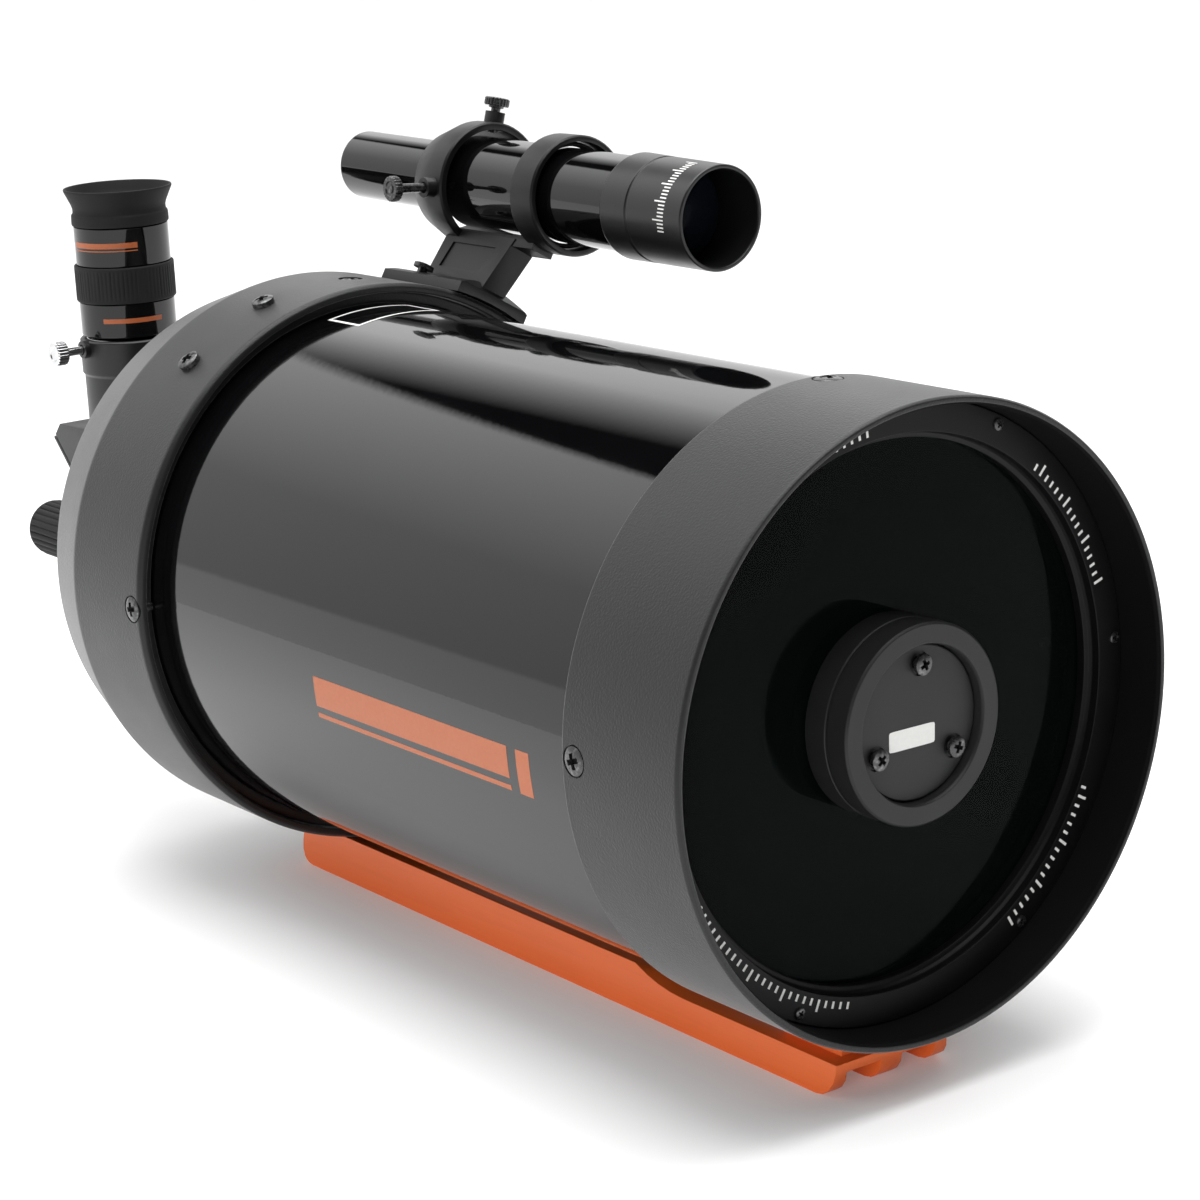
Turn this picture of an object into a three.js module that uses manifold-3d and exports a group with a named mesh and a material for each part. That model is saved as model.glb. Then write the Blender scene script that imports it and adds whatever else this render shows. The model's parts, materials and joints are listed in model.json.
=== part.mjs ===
// Schmidt-Cassegrain telescope tube with a star diagonal, an eyepiece and a finder, on a dovetail bar.
// Millimetres. Inside the telescope group Y runs along the optical axis from the front rim to the rear,
// Z is up and the optical axis is x = 0, z = 0. The group is moved at the end, so that the origin of the
// part is the middle of the dovetail bar's underside.
import * as THREE from 'three';
import { mergeVertices } from 'three/addons/utils/BufferGeometryUtils.js';
import Module from 'manifold-3d';

const wasm = await Module();
wasm.setup();

// ---- driving dimensions ----
const clearance = 0.3;            // gap between pieces that touch
const tubeRadius = 86;
const tubeWall = 1.6;
const frontCellRadius = 88.8;
const frontCellLength = 47.8;
const ringFace = 14.7;            // front face of the corrector's retaining ring
const clearRadius = 75.3;         // the ring's bore, which sets the 150 mm clear aperture
const correctorFront = 21.5;
const correctorThickness = 4.5;
const correctorRadius = 80;
const rearCellRadius = 93;
const rearCellFront = 261.4;
const rearBandEnd = 304;
const rearShoulder = { r: 85.5, y: 330 };
const rearFace = { r: 72, y: 345 };
const secondaryRadius = 28;
const collimationCircle = 16.2;
const collimationAngles = [86, 206, 326];
const baffleRadius = 20;
const primaryRadius = 76;
const primaryFocalLength = 300;
const diagonalAxis = 424;         // y of the eyepiece axis
const nosepieceRadius = 15.87;    // 1.25 inch fitting
const diagonalHalfWidth = 19;
const socketTop = 59.6;
const eyepieceTop = 113.9;
const knobAxis = { x: -60, z: 3 };
const barFront = 18;
const barRear = 289;
const barBottom = -105.3;
const barHalfWidth = 22;
const barTopHalfWidth = 19.3;     // the flanks lean in towards the tube
const barFlankTop = -88;
const finderAxis = { x: 65, z: 117.6 };
const finderPivot = 242;          // y of the finder's O-ring
const finderTilt = 1.15;          // degrees, eye end up, as left by the adjusting screws
const finderTubeRadius = 15.6;
const frontScrewAngles = [0, 90, 180];
const rearScrewAngles = [0, 180];
const diagonalTurn = -1.5;        // degrees about the optical axis, as left by its lock screw

const coarse = 40;                // segments round the tube and the cells
const medium = 20;
const fine = 8;
const smooth = 56;                // segments round the finder's rings
const degrees = THREE.MathUtils.degToRad;
const finderTurn = Math.atan2(finderAxis.x, finderAxis.z);

// ---- finishes ----
const finish = (color, roughness, metalness = 0) => ({ color, roughness, metalness });
const glossBlack = finish(0x101112, 0.12);
const cellPaint = finish(0x3b3c3d, 0.7);
const satinBlack = finish(0x131314, 0.45);
const mattBlack = finish(0x0c0c0c, 0.8);
const darkGrey = finish(0x333334, 0.6);
const rubber = finish(0x1b1b1b, 0.85);
const orange = finish(0xd9541e, 0.4, 0.6);
const chrome = finish(0xd0d0d0, 0.2, 1);
const darkSteel = finish(0x2a2a2a, 0.35, 0.8);
const glass = finish(0x1a2422, 0.05);
const mirrorCoat = finish(0xe4e6e8, 0.05, 1);

// ---- geometry helpers ----

// Turns a profile of [radius, height] points about the Y axis. A profile that does not start and end on
// the axis closes on itself.
function revolve(profile, segments = medium) {
  const points = profile.map(([r, y]) => new THREE.Vector2(r, y));
  const solidCentre = profile[0][0] === 0 && profile[profile.length - 1][0] === 0;
  if (THREE.ShapeUtils.area(points) < 0) points.reverse();
  if (!solidCentre) points.push(points[0].clone());
  return new THREE.LatheGeometry(points, segments);
}

// A plain round bar along Y between two heights.
function rod(radius, from, to, segments = fine) {
  return revolve([[0, from], [radius, from], [radius, to], [0, to]], segments);
}

// A prism along X, from an outline of [y, z] points.
function prismX(outline, halfWidth) {
  const shape = new THREE.Shape(outline.map(([y, z]) => new THREE.Vector2(y, z)));
  const geometry = new THREE.ExtrudeGeometry(shape, { depth: 2 * halfWidth, bevelEnabled: false });
  geometry.translate(0, 0, -halfWidth);
  geometry.applyMatrix4(new THREE.Matrix4().set(0, 0, 1, 0, 1, 0, 0, 0, 0, 1, 0, 0, 0, 0, 0, 1));
  return geometry;
}

function boxBetween([x0, y0, z0], [x1, y1, z1]) {
  const geometry = new THREE.BoxGeometry(x1 - x0, y1 - y0, z1 - z0);
  return geometry.translate((x0 + x1) / 2, (y0 + y1) / 2, (z0 + z1) / 2);
}

// A geometry as a manifold solid, and back.
function toSolid(geometry) {
  const bare = (geometry.index ? geometry.toNonIndexed() : geometry).clone();
  bare.deleteAttribute('normal');
  bare.deleteAttribute('uv');
  const merged = mergeVertices(bare, 1e-4);
  const index = merged.index.array;
  const kept = [];
  for (let i = 0; i < index.length; i += 3) {
    const [a, b, c] = [index[i], index[i + 1], index[i + 2]];
    if (a !== b && b !== c && a !== c) kept.push(a, b, c);
  }
  const vertProperties = new Float32Array(merged.attributes.position.array);
  return new wasm.Manifold(new wasm.Mesh({ numProp: 3, vertProperties, triVerts: new Uint32Array(kept) }));
}

function fromSolid(solid) {
  const mesh = solid.getMesh();
  const geometry = new THREE.BufferGeometry();
  geometry.setAttribute('position', new THREE.BufferAttribute(new Float32Array(mesh.vertProperties), 3));
  geometry.setIndex(new THREE.BufferAttribute(new Uint32Array(mesh.triVerts), 1));
  geometry.computeVertexNormals();
  return geometry;
}

function cut(geometry, ...tools) {
  return fromSolid(tools.reduce((solid, tool) => solid.subtract(toSolid(tool)), toSolid(geometry)));
}

function join(geometry, ...others) {
  return fromSolid(others.reduce((solid, other) => solid.add(toSolid(other)), toSolid(geometry)));
}

function keep(geometry, mask) {
  return fromSolid(toSolid(geometry).intersect(toSolid(mask)));
}

// Lays a geometry built along +Y so that it points outwards from the optical axis at an angle
// counted from +X towards +Z, with its zero height on the axis, at the given y.
function radial(geometry, angle, y) {
  return geometry.rotateZ(-Math.PI / 2).rotateY(-degrees(angle)).translate(0, y, 0);
}

// Stands a geometry built along +Y upright, along +Z.
function upright(geometry, x, y) {
  return geometry.rotateX(Math.PI / 2).translate(x, y, 0);
}

function piece(name, geometry, look) {
  const material = new THREE.MeshStandardMaterial(look);
  const mesh = new THREE.Mesh(geometry, material);
  mesh.name = name;
  return mesh;
}

// ---- tube and cells ----
const flangeFront = correctorFront + correctorThickness + 1.3;
const flangeRear = flangeFront + 3.2;
const tubeFront = flangeRear + clearance;
const tubeRear = 287.7;
const pocketRadius = tubeRadius + clearance;
const frontScrewY = 42.2;
const rearScrewY = 266.3;
const dovetailScrewX = 10.3;
const dovetailScrewYs = [36, 276];

// Pan head screw standing out of a cell: its shaft, built along +Y, starts at the tube's inner wall.
function cellScrew(angle, y, surface, standsOut) {
  const seat = surface - 1.5;
  const top = surface + standsOut;
  const profile = [[0, tubeRadius - 4], [1.8, tubeRadius - 4], [1.8, seat], [4, seat], [4, top - 0.9],
    [2.4, top], [0, top]];
  return radial(revolve(profile, fine), angle, y);
}

function cellScrewHole(angle, y, surface) {
  const seat = surface - 1.5 - clearance;
  return radial(revolve([[0, tubeRadius - 8], [2.15, tubeRadius - 8], [2.15, seat], [4.5, seat],
    [4.5, surface + 5], [0, surface + 5]], fine), angle, y);
}

function mainTube() {
  const profile = [[tubeRadius - tubeWall, tubeFront], [tubeRadius, tubeFront], [tubeRadius, tubeRear],
    [tubeRadius - tubeWall, tubeRear]];
  const frontHoles = frontScrewAngles.map((angle) => cellScrewHole(angle, frontScrewY, frontCellRadius));
  const rearHoles = rearScrewAngles.map((angle) => cellScrewHole(angle, rearScrewY, rearCellRadius));
  return cut(revolve(profile, coarse), ...frontHoles, ...rearHoles);
}

function frontCell() {
  const rim = frontCellRadius;
  const glassPocket = correctorRadius + 0.6;
  const profile = [[87, 0], [rim - 0.5, 0], [rim, 0.8], [rim, frontCellLength - 0.8],
    [rim - 0.8, frontCellLength], [pocketRadius, frontCellLength], [pocketRadius, flangeRear],
    [clearRadius + 1.2, flangeRear], [clearRadius + 1.2, flangeFront], [glassPocket, flangeFront],
    [glassPocket, correctorFront], [pocketRadius, correctorFront], [pocketRadius, 1]];
  const holes = frontScrewAngles.map((angle) => cellScrewHole(angle, frontScrewY, frontCellRadius));
  const fixings = [-1, 1].map((side) => dovetailHole(side, dovetailScrewYs[0]));
  return cut(revolve(profile, coarse), ...holes, ...fixings);
}

// Vertical hole for a dovetail screw, from below the bar to the inside of a cell's wall.
function dovetailHole(side, y) {
  return upright(rod(2.35, -120, -80), side * dovetailScrewX, y);
}

// Screws that fill spare tapped holes on the rear cell's band. The last one is sunk flush.
const accessoryScrews = [{ angle: 129, sunk: 0 }, { angle: 109, sunk: 0 }, { angle: 88, sunk: 2.5 }];
const accessoryY = 280.5;

function accessoryScrew({ angle, sunk }) {
  const head = rearCellRadius + clearance - sunk;
  const profile = [[0, 88.6], [1.7, 88.6], [1.7, head], [3.7, head], [3.7, head + 1.3], [2.2, head + 2.3],
    [0, head + 2.3]];
  return radial(revolve(profile, fine), angle, accessoryY);
}

function accessoryHole({ angle, sunk }) {
  const seat = rearCellRadius - sunk;
  const profile = [[0, 88.2], [2.05, 88.2], [2.05, seat], [4.1, seat], [4.1, 99], [0, 99]];
  return radial(revolve(profile, fine), angle, accessoryY);
}

// Screws of the finder's foot, in the finder bracket's own turned frame.
const footScrews = [-9.8, 9.8];
const footScrewY = 291;
const footTop = 99.4;
const footCrownRadius = 32;       // its top curves down to both sides

function rearCell() {
  const r = rearCellRadius;
  const lipDepth = 4;
  const profile = [[90, rearCellFront], [r - 0.8, rearCellFront], [r, rearCellFront + 0.8],
    [r, rearBandEnd], [rearShoulder.r, rearShoulder.y], [rearFace.r, rearFace.y], [27, rearFace.y],
    [27, rearFace.y + 4], [25.4, rearFace.y + 4], [25.4, rearFace.y + 13], [20.4, rearFace.y + 13],
    [20.4, rearFace.y - 4], [rearFace.r - 2.5, rearFace.y - 4], [rearShoulder.r - 4, rearShoulder.y - 3],
    [r - 9.5, rearBandEnd + 1], [r - 9.5, tubeRear + clearance], [pocketRadius, tubeRear + clearance],
    [pocketRadius, rearCellFront + lipDepth], [90, rearCellFront + lipDepth]];
  const tools = rearScrewAngles.map((angle) => cellScrewHole(angle, rearScrewY, rearCellRadius));
  tools.push(rod(6.3, 330, 350, fine).translate(knobAxis.x, 0, knobAxis.z));
  for (const side of [-1, 1]) tools.push(dovetailHole(side, dovetailScrewYs[1]));
  for (const screw of accessoryScrews) tools.push(accessoryHole(screw));
  for (const x of footScrews) {
    tools.push(upright(rod(2.05, 89.2, 99), x, footScrewY).rotateY(finderTurn));
  }
  return cut(revolve(profile, coarse), ...tools);
}

function tubeAndCells() {
  const group = new THREE.Group();
  group.add(piece('main_tube', mainTube(), glossBlack));
  group.add(piece('front_cell', frontCell(), cellPaint));
  group.add(piece('rear_cell', rearCell(), cellPaint));
  const standsOut = 0.6;
  frontScrewAngles.forEach((angle, i) => {
    const screw = cellScrew(angle, frontScrewY, frontCellRadius, standsOut);
    group.add(piece(`front_cell_screw_${i + 1}`, screw, darkSteel));
  });
  rearScrewAngles.forEach((angle, i) => {
    const screw = cellScrew(angle, rearScrewY, rearCellRadius, standsOut);
    group.add(piece(`rear_cell_screw_${i + 1}`, screw, darkSteel));
  });
  accessoryScrews.forEach((place, i) => {
    group.add(piece(`accessory_screw_${i + 1}`, accessoryScrew(place), darkSteel));
  });
  return group;
}

// ---- corrector plate and secondary mirror ----
const correctorRear = correctorFront + correctorThickness;
const stubRadius = 20.5;

function onCollimationCircle(geometry, angle) {
  const a = degrees(angle);
  return geometry.translate(collimationCircle * Math.cos(a), 0, collimationCircle * Math.sin(a));
}

function collimationPlate() {
  const holes = collimationAngles.map((angle) => onCollimationCircle(rod(1.9, 7, 11), angle));
  return cut(rod(21.6, 8, 9.6, medium), ...holes);
}

function collimationScrew(angle) {
  const profile = [[0, 5.6], [1.8, 5.7], [2.9, 6.7], [2.9, 7.7], [1.5, 7.7], [1.5, 31.6], [0, 31.6]];
  return onCollimationCircle(revolve(profile, 12), angle);
}

function secondaryCell() {
  const profile = [[0, 30.3], [25.3, 30.3], [25.3, 35.4], [23.6, 35.4], [23.6, 33.4], [0, 33.4]];
  const holes = collimationAngles.map((angle) => onCollimationCircle(rod(2.1, 29, 32.6, 12), angle));
  return cut(revolve(profile), ...holes);
}

function correctorAndSecondary() {
  const group = new THREE.Group();
  const ringRear = correctorFront - clearance;
  group.add(piece('corrector_retaining_ring', revolve([[clearRadius, ringFace], [tubeRadius, ringFace],
    [tubeRadius, ringRear], [clearRadius, ringRear]], coarse), satinBlack));
  group.add(piece('corrector_plate', revolve([[stubRadius + clearance, correctorFront],
    [correctorRadius, correctorFront], [correctorRadius, correctorRear],
    [stubRadius + clearance, correctorRear]], coarse), glass));
  group.add(piece('corrector_gasket', revolve([[77, correctorRear + clearance],
    [correctorRadius, correctorRear + clearance], [correctorRadius, flangeFront - clearance],
    [77, flangeFront - clearance]], coarse), mattBlack));
  group.add(piece('secondary_housing', revolve([[21.9, 5.6], [22.4, 5], [27.4, 5], [secondaryRadius, 5.6],
    [secondaryRadius, ringRear], [stubRadius, ringRear], [stubRadius, 28.2], [18.4, 28.2], [18.4, 9.9],
    [21.9, 9.9]]), darkGrey));
  group.add(piece('collimation_plate', collimationPlate(), darkGrey));
  group.add(piece('secondary_baffle', revolve([[stubRadius + clearance, 26.3], [secondaryRadius, 26.3],
    [secondaryRadius, 39.6], [26.6, 39.6], [26.6, 29.2], [stubRadius + clearance, 29.2]]), mattBlack));
  group.add(piece('secondary_cell', secondaryCell(), mattBlack));
  group.add(piece('secondary_mirror', revolve([[0, 33.8], [23.2, 33.8], [23.2, 37.4], [16, 38.1], [8, 38.6],
    [0, 38.8]]), mirrorCoat));
  collimationAngles.forEach((angle, i) => {
    group.add(piece(`collimation_screw_${i + 1}`, collimationScrew(angle), darkSteel));
  });
  return group;
}

// ---- primary mirror, its carrier and the focuser ----
const mirrorRear = 286;
const mirrorEdge = 262;

// Concave face of the primary: a sphere of twice the focal length.
function primaryMirror() {
  const sphere = 2 * primaryFocalLength;
  const holeRadius = 25.6;
  const depth = (r) => mirrorEdge + (primaryRadius ** 2 - r ** 2) / (2 * sphere);
  const face = [76, 64, 51, 38, holeRadius].map((r) => [r, depth(r)]);
  return revolve([...face, [holeRadius, mirrorRear], [primaryRadius, mirrorRear]], coarse);
}

// Sleeve that slides on the baffle tube, with a flange behind the mirror and an arm to the focus screw.
function mirrorCarrier() {
  const sleeve = revolve([[baffleRadius + clearance, 262.8], [25.2, 262.8], [25.2, 286.4], [46, 286.4],
    [46, 291], [27, 291], [27, 306], [baffleRadius + clearance, 306]]);
  const arm = boxBetween([knobAxis.x, 286.4, knobAxis.z - 6], [-40, 291, knobAxis.z + 6]);
  const bush = rod(7.5, 286.4, 308).translate(knobAxis.x, 0, knobAxis.z);
  const thread = rod(3.3, 280, 315).translate(knobAxis.x, 0, knobAxis.z);
  return cut(join(sleeve, arm, bush), thread);
}

function mirrorsAndFocuser() {
  const group = new THREE.Group();
  group.add(piece('primary_mirror', primaryMirror(), mirrorCoat));
  group.add(piece('mirror_carrier', mirrorCarrier(), darkSteel));
  group.add(piece('mirror_lock_ring', revolve([[25.5, 263], [30, 263], [30, 265.4],
    [25.5, 265.4]]), mattBlack));
  group.add(piece('baffle_tube', revolve([[18.2, 120], [baffleRadius, 120], [baffleRadius, 336.9],
    [30, 336.9], [30, 340.7], [baffleRadius, 340.7], [baffleRadius, 357], [18.2, 357]]), mattBlack));
  const focuser = new THREE.Group();
  focuser.position.set(knobAxis.x, 0, knobAxis.z);
  focuser.add(piece('focus_bearing', revolve([[3.4, 334], [5.9, 334], [5.9, 345.3], [11.5, 345.3],
    [11.5, 348.3], [7.5, 349.3], [7.5, 352.6], [3.4, 352.6]], fine), darkSteel));
  focuser.add(piece('focus_screw', rod(3, 295, 375.8), darkSteel));
  focuser.add(piece('focus_knob', revolve([[3.3, 353.5], [9.8, 353.5], [9.8, 380.6], [8.8, 381.6],
    [0, 381.6], [0, 376.1], [3.3, 376.1]], 20), rubber));
  group.add(focuser);
  return group;
}

// ---- visual back and star diagonal ----
const visualBackRear = 399.5;
const lockScrew = { angle: 45, y: 389 };

// Thumbscrew along +Y: a plain shaft and a head with a raised middle.
function thumbscrew(shaftRadius, tip, headStart, headEnd, headRadius) {
  const profile = [[0, tip], [shaftRadius, tip], [shaftRadius, headStart], [headRadius - 0.5, headStart],
    [headRadius, headStart + 0.5], [headRadius, headEnd - 0.5], [headRadius - 0.5, headEnd], [0, headEnd]];
  return revolve(profile, fine);
}

function visualBack() {
  const bore = nosepieceRadius + 0.35;
  const body = revolve([[bore, 358.4], [25.1, 358.4], [25.1, 361.2], [22.2, 361.2], [22.2, 366],
    [21, 367], [21, visualBackRear - 0.8], [20.2, visualBackRear], [bore, visualBackRear]]);
  return cut(body, radial(rod(1.9, 10, 30, 12), lockScrew.angle, lockScrew.y));
}

const bodyFront = 405.6;
const slant = 432.8;              // y - z of the body's sloping back
const socketScrewHeight = 56.5;

function diagonalBody() {
  const outline = [[bodyFront, -19], [slant - 19, -19], [slant + 21, 21], [449.5, 25.5], [bodyFront, 25.5]];
  const cavity = [[bodyFront + 3, -15.5], [420, -15.5], [453, 17], [446, 17], [440.5, 22.3],
    [bodyFront + 3, 22.3]];
  const wall = 2.5;
  const block = prismX(outline, diagonalHalfWidth);
  const hollow = prismX(cavity, diagonalHalfWidth - wall);
  const lightIn = rod(13.8, bodyFront - 2, bodyFront + 5, 24);
  const lightOut = upright(rod(14, 20, 30, 24), 0, diagonalAxis);
  return cut(block, hollow, lightIn, lightOut);
}

function diagonalSocket() {
  const tube = revolve([[14.2, 25.8], [17.6, 25.8], [17.6, 46], [18.3, 47], [18.3, socketTop - 0.6],
    [17.7, socketTop], [16.2, socketTop], [16.2, 34], [14.2, 34]]);
  const boss = rod(3.2, 17.2, 20.3).rotateZ(Math.PI / 2).translate(0, socketScrewHeight, 0);
  const hole = rod(1.95, 10, 25, 12).rotateZ(Math.PI / 2).translate(0, socketScrewHeight, 0);
  return cut(join(tube, boss), hole);
}

function visualBackGroup() {
  const group = new THREE.Group();
  group.add(piece('slip_ring', revolve([[26.1, 349.3], [28.9, 349.3], [29.5, 350], [29.5, 364.3],
    [28.9, 365], [22.5, 365], [22.5, 361.5], [26.1, 361.5]]), satinBlack));
  group.add(piece('visual_back', visualBack(), satinBlack));
  group.add(piece('visual_back_screw', radial(thumbscrew(1.6, 16.3, 24.5, 29, 4.4), lockScrew.angle,
    lockScrew.y), chrome));
  return group;
}

function starDiagonal() {
  const group = new THREE.Group();
  group.add(piece('diagonal_nosepiece', revolve([[13.6, 372], [nosepieceRadius, 372],
    [nosepieceRadius, 401], [17.2, 401.2], [17.2, bodyFront - clearance],
    [13.6, bodyFront - clearance]]), chrome));
  group.add(piece('diagonal_body', diagonalBody(), satinBlack));
  const mirror = prismX([[409.5, -14.5], [416.4, -14.5], [446, 15.1], [439.1, 15.1]], 16);
  group.add(piece('diagonal_mirror', mirror, mirrorCoat));
  const cover = prismX([[414.7, -18.5], [418, -18.5], [456.5, 20], [453.2, 20]], diagonalHalfWidth);
  group.add(piece('diagonal_cover', cover, satinBlack));
  const holder = new THREE.Group();
  holder.position.y = diagonalAxis;
  holder.rotation.x = Math.PI / 2;
  holder.add(piece('diagonal_socket', diagonalSocket(), satinBlack));
  const screw = thumbscrew(1.6, 16.3, 27.3, 31.8, 4.4);
  holder.add(piece('diagonal_thumbscrew', screw.rotateZ(Math.PI / 2).translate(0, socketScrewHeight, 0),
    chrome));
  group.add(holder);
  return group;
}

// ---- eyepiece ----
function eyepiece() {
  const group = new THREE.Group();
  group.position.y = diagonalAxis;
  group.rotation.x = Math.PI / 2;
  group.add(piece('eyepiece_barrel', revolve([[13, 34.3], [nosepieceRadius, 34.3],
    [nosepieceRadius, socketTop], [14.5, 60.4], [14.5, 66], [13, 66]]), chrome));
  group.add(piece('eyepiece_body', revolve([[14.8, 60.6], [17.3, 60.6], [17.3, 72.9], [16.6, 72.9],
    [16.6, 86.6], [17.1, 86.6], [17.1, 100.4], [15.8, 100.4], [15.8, 105.5], [11.6, 105.5], [11.6, 66.3],
    [14.8, 66.3]]), glossBlack));
  group.add(piece('eyepiece_grip', revolve([[16.9, 73.2], [18.1, 73.2], [18.1, 86.3],
    [16.9, 86.3]]), rubber));
  group.add(piece('eyecup', revolve([[16.1, 100.7], [17.5, 100.7], [17.4, 106.5], [18.1, 109.5],
    [19.6, 113.3], [19.6, eyepieceTop], [18.9, eyepieceTop], [17, 110.2], [15, 107.4], [13, 106.8],
    [13, 105.8], [16.1, 105.8]]), rubber));
  group.add(piece('eye_lens', revolve([[0, 99.8], [11.3, 100.6], [11.3, 103.6], [0, 104.6]]), glass));
  return group;
}

// ---- dovetail bar ----

// The bar's side view: rounded lower corners, and a top that dips under the front cell in an arc.
function barSideView() {
  const round = 7;
  const dip = { level: -95.5, end: 84, radius: 63.7, rise: 23 };
  const outline = [];
  const corner = (y, z, from, to) => {
    for (let i = 0; i <= 4; i += 1) {
      const a = degrees(from + (to - from) * i / 4);
      outline.push([y + round * Math.cos(a), z + round * Math.sin(a)]);
    }
  };
  corner(barFront + round, barBottom + round, 180, 270);
  corner(barRear - round, barBottom + round, 270, 360);
  outline.push([barRear, barFlankTop]);
  const top = dip.level + dip.radius;
  outline.push([dip.end + dip.radius * Math.sin(0.5), barFlankTop]);
  for (let i = 4; i >= 0; i -= 1) {
    const a = Math.asin(dip.rise / dip.radius) * i / 4;
    outline.push([dip.end + dip.radius * Math.sin(a), top - dip.radius * Math.cos(a)]);
  }
  outline.push([barFront, dip.level]);
  return outline;
}

// A prism along Y over the whole bar, from an outline of [x, z] points.
function alongBar(outline, from = barFront - 5, to = barRear + 5) {
  const shape = new THREE.Shape(outline.map(([x, z]) => new THREE.Vector2(x, z)));
  const geometry = new THREE.ExtrudeGeometry(shape, { depth: to - from, bevelEnabled: false });
  return geometry.rotateX(Math.PI / 2).translate(0, to, 0);
}

function dovetailBar() {
  const webBottom = -98.3;
  const edge = barBottom + 1.5;
  const section = alongBar([[-barHalfWidth, barBottom], [barHalfWidth, barBottom], [barHalfWidth, edge],
    [barTopHalfWidth, barFlankTop], [-barTopHalfWidth, barFlankTop], [-barHalfWidth, edge]]);
  const channel = { width: 12.6, middle: 10.3 };
  const channels = [-1, 1].map((side) => boxBetween(
    [side * channel.middle - channel.width / 2, barFront - 6, barBottom - 2],
    [side * channel.middle + channel.width / 2, barRear + 6, webBottom]));
  const saddle = rod(rearCellRadius + clearance, 0, 400, 96);
  const bar = cut(keep(prismX(barSideView(), barHalfWidth), section), saddle, ...channels);
  const pad = cut(boxBetween([-15, 22, -97], [15, 46, -86]),
    rod(frontCellRadius + clearance, 0, 100, 96));
  const holes = dovetailScrewYs.flatMap((y) => [-1, 1].map((side) => dovetailHole(side, y)));
  return cut(join(bar, pad), ...holes);
}

function dovetailScrew(side, y) {
  const profile = [[0, -87.1], [2, -87.1], [2, -98.6], [4.2, -98.6], [4.2, -101], [3.4, -102], [0, -102]];
  return upright(revolve(profile, fine), side * dovetailScrewX, y);
}

function dovetail() {
  const group = new THREE.Group();
  group.add(piece('dovetail_bar', dovetailBar(), orange));
  let number = 0;
  for (const y of dovetailScrewYs) {
    for (const side of [-1, 1]) {
      number += 1;
      group.add(piece(`dovetail_screw_${number}`, dovetailScrew(side, y), darkSteel));
    }
  }
  return group;
}

// ---- finder ----
const finderRise = Math.hypot(finderAxis.x, finderAxis.z);
const adjusters = [
  { name: 'finder_adjust_screw_1', angle: 15, headStart: 27, headEnd: 29.8 },
  { name: 'finder_adjust_screw_2', angle: 116, headStart: 35.6, headEnd: 38.6 },
];
const plungerAngle = 245;
const adjusterY = 290;
const tipRadius = finderTubeRadius + 2.3;

// Lays a geometry built along +Y on a line that leaves the finder's axis at an angle from straight
// outwards, in the rear ring's plane.
function fromFinder(geometry, angle) {
  return geometry.rotateX(Math.PI / 2).rotateY(-degrees(angle)).translate(0, adjusterY, finderRise);
}

// One casting: a foot that sits on the rear cell, a stem, a web and the two rings.
function finderBracket() {
  const lift = (geometry) => geometry.translate(0, 0, finderRise);
  const frontRing = lift(revolve([[17.9, 236], [19.3, 236], [19.9, 236.6], [19.9, 247.4], [19.3, 248],
    [17.9, 248]], smooth));
  const rearRing = lift(revolve([[19, 285], [20.9, 285], [21.5, 285.6], [21.5, 294], [17.6, 306],
    [15.8, 306], [18.6, 293.5]], smooth));
  const footSide = [[259.5, 85], [259.5, 96.2], [264.2, footTop], [305, footTop], [305, 85]];
  const footCrown = rod(footCrownRadius, 250, 310, 96).translate(0, 0, footTop - footCrownRadius);
  const foot = keep(prismX(footSide, 15), footCrown);
  const seat = rod(rearCellRadius + clearance, 250, 310, 96);
  const stem = prismX([[262, 96], [296, 96], [292, 115.5], [254, 115.5]], 5);
  const panel = [[267, 102.5], [290, 102.5], [287, 111.5], [262.5, 111.5]];
  const recesses = [-1, 1].map((side) => prismX(panel, 0.6).translate(side * 5, 0, 0));
  const web = boxBetween([-4.5, 244, finderRise - 21.4], [4.5, 288, finderRise - 17.6]);
  const bosses = [...adjusters.map(({ angle }) => angle), plungerAngle]
    .map((angle) => fromFinder(rod(3.4, 19.5, 25, 24), angle));
  const holes = adjusters.map(({ angle }) => fromFinder(rod(1.95, 12, 30, 12), angle));
  holes.push(fromFinder(rod(2.6, 12, 30, 12), plungerAngle));
  for (const x of footScrews) {
    holes.push(upright(rod(2.05, 88, 102, 12), x, footScrewY));
    holes.push(upright(rod(3.9, 98.1, 102, 12), x, footScrewY));
  }
  return cut(join(cut(foot, seat), stem, web, frontRing, rearRing, ...bosses), ...recesses, ...holes);
}

function footScrew(x) {
  const profile = [[0, 89.7], [1.7, 89.7], [1.7, 98.4], [3.5, 98.4], [3.5, 100], [2.2, 101], [0, 101]];
  return upright(revolve(profile, 12), x, footScrewY);
}

function finderMount() {
  const group = new THREE.Group();
  group.rotation.y = finderTurn;
  group.add(piece('finder_bracket', finderBracket(), satinBlack));
  footScrews.forEach((x, i) => group.add(piece(`finder_foot_screw_${i + 1}`, footScrew(x), darkSteel)));
  for (const { name, angle, headStart, headEnd } of adjusters) {
    const screw = thumbscrew(1.6, tipRadius, headStart, headEnd, 4.3);
    group.add(piece(name, fromFinder(screw, angle), darkSteel));
  }
  const plunger = revolve([[0, tipRadius], [1.6, tipRadius], [1.6, 19.4], [2.3, 19.4], [2.3, 25.2],
    [0, 25.2]], 12);
  group.add(piece('finder_spring_plunger', fromFinder(plunger, plungerAngle), darkSteel));
  const oRing = revolve([[15.9, 240.6], [16.3, 239.8], [17.2, 239.8], [17.6, 240.6], [17.6, 243.4],
    [17.2, 244.2], [16.3, 244.2], [15.9, 243.4]]).translate(0, 0, finderRise);
  group.add(piece('finder_o_ring', oRing, rubber));
  return group;
}

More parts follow.
